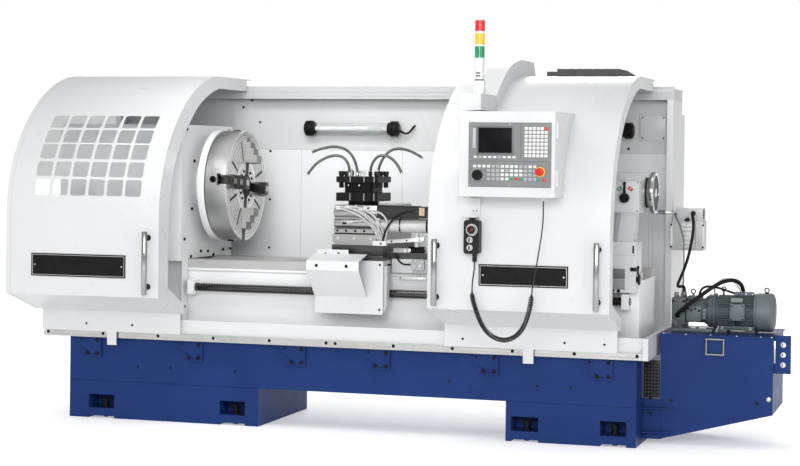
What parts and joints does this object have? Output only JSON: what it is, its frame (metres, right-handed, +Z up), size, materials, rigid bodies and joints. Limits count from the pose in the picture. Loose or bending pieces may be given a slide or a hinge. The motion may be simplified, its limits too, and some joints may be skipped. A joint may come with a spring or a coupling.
{
  "type": "cnc_lathe",
  "caption": "Flat-bed CNC turning lathe with curved sliding doors, four-jaw chuck, indexing tool post, tailstock, hinged control panel on an arm duct, hand pendant, chip tray and coolant tank",
  "frame": {"origin": "middle of the machine's plan on the floor", "axes": "+X along the spindle towards the tailstock, -Y to the operator, +Z up"},
  "size_m": [4.198, 1.935, 2.217],
  "materials": {
    "white_paint": "smooth enamel on sheet steel",
    "blue_paint": "hammered enamel on welded steel",
    "grey_paint": "light grey enamel",
    "green_grey_paint": "machine enamel on castings",
    "black_metal": "black oxide or black enamel",
    "machined_steel": "ground and turned",
    "cast_iron": "cast, machined on the ways",
    "bright_chrome": "polished",
    "clear_pane": "clear sheet",
    "black_plastic": "moulded, fine grain",
    "dark_plastic": "moulded chain links",
    "panel_grey": "membrane panel",
    "red_plastic": "moulded",
    "white_plastic": "moulded, translucent in the lamp rings",
    "hose_rubber": "matt black",
    "hose_grey": "ribbed grey hose"
  },
  "bodies": {
    "machine_frame": {"base_frame": "blue_paint", "levelling_screws": "machined_steel", "tray_brackets": "blue_paint", "frame_screws": "black_metal", "chip_tray": "white_paint", "front_rail": "machined_steel", "bed": "cast_iron", "headstock": "white_paint", "headstock_cover": "white_paint", "chuck_guard": "white_paint", "rear_frame": "white_paint", "back_panels": "white_paint", "work_lights": "black_plastic", "coolant_tank": "blue_paint", "hydraulic_pump": "green_grey_paint", "pump_motor": "green_grey_paint", "lube_unit": "grey_paint", "hydraulic_hose": "hose_rubber", "lube_hose": "hose_rubber"},
    "tank_handle": {"tank_handle": "bright_chrome"},
    "z_ballscrew": {"z_ballscrew": "machined_steel"},
    "spindle": {"spindle": "machined_steel", "chuck_body": "machined_steel", "jaw_screws": "black_metal"},
    "jaw_1": {"chuck_jaw_1": "machined_steel"},
    "jaw_2": {"chuck_jaw_2": "machined_steel"},
    "jaw_3": {"chuck_jaw_3": "machined_steel"},
    "jaw_4": {"chuck_jaw_4": "machined_steel"},
    "left_door": {"left_door": "white_paint", "left_window": "clear_pane", "left_handle": "bright_chrome", "left_plate": "black_metal"},
    "right_door": {"right_door": "white_paint", "right_handles": "bright_chrome", "right_plate": "black_metal", "drag_chain": "dark_plastic", "control_box": "white_paint", "signal_tower": "white_plastic", "pendant": "dark_plastic", "pendant_lead": "hose_rubber", "pendant_coil": "hose_rubber", "pendant_tail": "hose_rubber"},
    "control_door": {"control_door": "white_paint"},
    "e_stop": {"e_stop": "red_plastic"},
    "override_knob": {"override_knob": "black_plastic"},
    "pendant_dial": {"pendant_dial": "black_plastic"},
    "pendant_selector_1": {"pendant_selector_1": "black_plastic"},
    "pendant_selector_2": {"pendant_selector_2": "black_plastic"},
    "carriage": {"saddle": "cast_iron", "apron": "white_paint", "chip_guard": "white_paint"},
    "cross_slide": {"cross_slide": "machined_steel", "tool_motor": "black_metal"},
    "tool_post": {"tool_post": "black_metal", "tool_bolts": "machined_steel", "coolant_hoses": "hose_grey"},
    "tailstock": {"tailstock": "white_paint"},
    "quill": {"quill": "machined_steel"},
    "handwheel": {"handwheel": "bright_chrome"},
    "valve_lever": {"valve_lever": "black_plastic"}
  },
  "joints": [
    {"name": "tank_handle_swing", "type": "hinge", "parent": "machine_frame", "child": "tank_handle", "pos_m": [1.71, -0.1295, 0.564], "axis": [1, 0, 0], "range_deg": [-90, 0]},
    {"name": "ballscrew_turn", "type": "hinge", "parent": "machine_frame", "child": "z_ballscrew", "pos_m": [0, -0.2225, 0.753], "axis": [1, 0, 0], "range_deg": [-2880, 12240]},
    {"name": "spindle_turn", "type": "hinge", "parent": "machine_frame", "child": "spindle", "pos_m": [-1.071, 0.075, 1.322], "axis": [1, 0, 0], "continuous": true},
    {"name": "jaw_1_slide", "type": "slide", "parent": "spindle", "child": "jaw_1", "axis": [0, 0.1219, 0.9925], "range_m": [-0.06, 0.05]},
    {"name": "jaw_2_slide", "type": "slide", "parent": "spindle", "child": "jaw_2", "axis": [0, -0.9925, 0.1219], "range_m": [-0.06, 0.05]},
    {"name": "jaw_3_slide", "type": "slide", "parent": "spindle", "child": "jaw_3", "axis": [0, -0.1219, -0.9925], "range_m": [-0.06, 0.05]},
    {"name": "jaw_4_slide", "type": "slide", "parent": "spindle", "child": "jaw_4", "axis": [0, 0.9925, -0.1219], "range_m": [-0.06, 0.05]},
    {"name": "left_door_slide", "type": "slide", "parent": "machine_frame", "child": "left_door", "axis": [1, 0, 0], "range_m": [0, 0.748]},
    {"name": "right_door_slide", "type": "slide", "parent": "machine_frame", "child": "right_door", "axis": [1, 0, 0], "range_m": [-0.748, 0]},
    {"name": "control_door_swing", "type": "hinge", "parent": "right_door", "child": "control_door", "pos_m": [1.026, -0.9185, 1.52], "axis": [0, 0, 1], "range_deg": [0, 110]},
    {"name": "e_stop_press", "type": "slide", "parent": "control_door", "child": "e_stop", "axis": [0, 1, 0], "range_m": [0, 0.006]},
    {"name": "override_turn", "type": "hinge", "parent": "control_door", "child": "override_knob", "pos_m": [0.626, -0.9525, 1.415], "axis": [0, 1, 0], "range_deg": [-135, 135]},
    {"name": "pendant_dial_turn", "type": "hinge", "parent": "right_door", "child": "pendant_dial", "pos_m": [0.566, -0.8125, 1.135], "axis": [0, 1, 0], "continuous": true},
    {"name": "pendant_selector_1_turn", "type": "hinge", "parent": "right_door", "child": "pendant_selector_1", "pos_m": [0.556, -0.8125, 1.084], "axis": [0, 1, 0], "range_deg": [-60, 60]},
    {"name": "pendant_selector_2_turn", "type": "hinge", "parent": "right_door", "child": "pendant_selector_2", "pos_m": [0.556, -0.8125, 1.044], "axis": [0, 1, 0], "range_deg": [-60, 60]},
    {"name": "carriage_slide", "type": "slide", "parent": "machine_frame", "child": "carriage", "axis": [1, 0, 0], "range_m": [-0.34, 0.08]},
    {"name": "cross_slide_feed", "type": "slide", "parent": "carriage", "child": "cross_slide", "axis": [0, 1, 0], "range_m": [-0.17, 0.15]},
    {"name": "tool_post_index", "type": "hinge", "parent": "cross_slide", "child": "tool_post", "pos_m": [-0.234, -0.1225, 1.32], "axis": [0, 0, 1], "continuous": true},
    {"name": "tailstock_slide", "type": "slide", "parent": "machine_frame", "child": "tailstock", "axis": [1, 0, 0], "range_m": [-0.12, 0]},
    {"name": "quill_slide", "type": "slide", "parent": "tailstock", "child": "quill", "axis": [1, 0, 0], "range_m": [-0.12, 0]},
    {"name": "handwheel_turn", "type": "hinge", "parent": "tailstock", "child": "handwheel", "pos_m": [1.348, 0.075, 1.322], "axis": [1, 0, 0], "range_deg": [-7200, 0]},
    {"name": "valve_lever_turn", "type": "hinge", "parent": "tailstock", "child": "valve_lever", "pos_m": [1.223, -0.1325, 1.296], "axis": [0, 1, 0], "range_deg": [-45, 45]}
  ],
  "couplings": [
    {"joint": "ballscrew_turn", "follows": "carriage_slide", "rad_per_m": -628.32},
    {"joint": "quill_slide", "follows": "handwheel_turn", "m_per_rad": 0.00095493}
  ]
}
